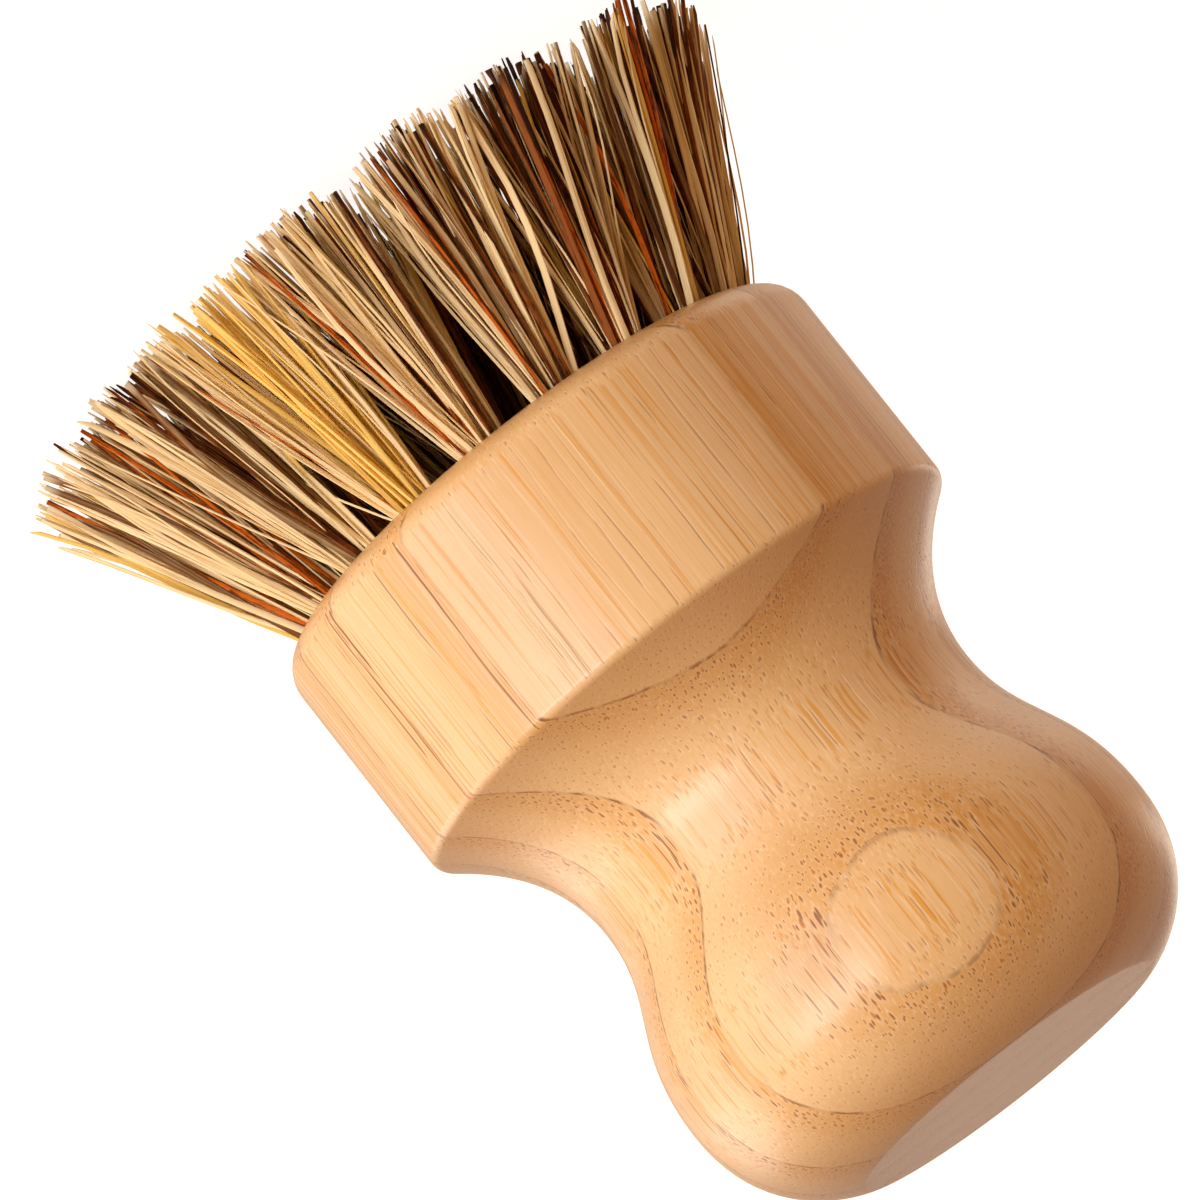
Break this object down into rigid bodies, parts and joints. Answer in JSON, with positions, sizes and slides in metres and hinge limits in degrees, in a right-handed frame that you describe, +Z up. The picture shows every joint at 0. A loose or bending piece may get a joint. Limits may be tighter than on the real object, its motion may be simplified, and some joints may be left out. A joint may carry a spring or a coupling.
{
  "type": "pot brush",
  "caption": "Hand-held pot brush: a turned bamboo knob handle with a wide round head full of splayed stiff plant-fibre tufts, for scrubbing pots and pans.",
  "frame": {"origin": "on the surface that the brush stands on, under the fibre tips, on the axis of the handle", "axes": "+Z up along the turned handle, from the fibre tips to the knob; X and Y lie in the plane of the head's face and are equal on a turned part"},
  "size_m": [0.072, 0.0722, 0.093],
  "materials": {
    "bamboo": "pale laminated bamboo, finely sanded under a thin satin lacquer",
    "fibre": "dry mixed plant fibre, straw, golden and dark brown strands, cut ends, not glossy",
    "wire": "drawn flat wire, dull metallic"
  },
  "bodies": {
    "root": {"anchor_inner_01": "wire", "anchor_inner_02": "wire", "anchor_inner_03": "wire", "anchor_middle_01": "wire", "anchor_middle_02": "wire", "anchor_middle_03": "wire", "anchor_middle_04": "wire", "anchor_middle_05": "wire", "anchor_middle_06": "wire", "anchor_middle_07": "wire", "anchor_middle_08": "wire", "anchor_outer_01": "wire", "anchor_outer_02": "wire", "anchor_outer_03": "wire", "anchor_outer_04": "wire", "anchor_outer_05": "wire", "anchor_outer_06": "wire", "anchor_outer_07": "wire", "anchor_outer_08": "wire", "anchor_outer_09": "wire", "anchor_outer_10": "wire", "anchor_outer_11": "wire", "anchor_outer_12": "wire", "anchor_outer_13": "wire", "anchor_outer_14": "wire", "anchor_outer_15": "wire", "anchor_outer_16": "wire", "anchor_outer_17": "wire", "anchor_outer_18": "wire", "handle": "bamboo", "tuft_inner_01": "fibre", "tuft_inner_02": "fibre", "tuft_inner_03": "fibre", "tuft_middle_01": "fibre", "tuft_middle_02": "fibre", "tuft_middle_03": "fibre", "tuft_middle_04": "fibre", "tuft_middle_05": "fibre", "tuft_middle_06": "fibre", "tuft_middle_07": "fibre", "tuft_middle_08": "fibre", "tuft_outer_01": "fibre", "tuft_outer_02": "fibre", "tuft_outer_03": "fibre", "tuft_outer_04": "fibre", "tuft_outer_05": "fibre", "tuft_outer_06": "fibre", "tuft_outer_07": "fibre", "tuft_outer_08": "fibre", "tuft_outer_09": "fibre", "tuft_outer_10": "fibre", "tuft_outer_11": "fibre", "tuft_outer_12": "fibre", "tuft_outer_13": "fibre", "tuft_outer_14": "fibre", "tuft_outer_15": "fibre", "tuft_outer_16": "fibre", "tuft_outer_17": "fibre", "tuft_outer_18": "fibre"}
  },
  "joints": []
}
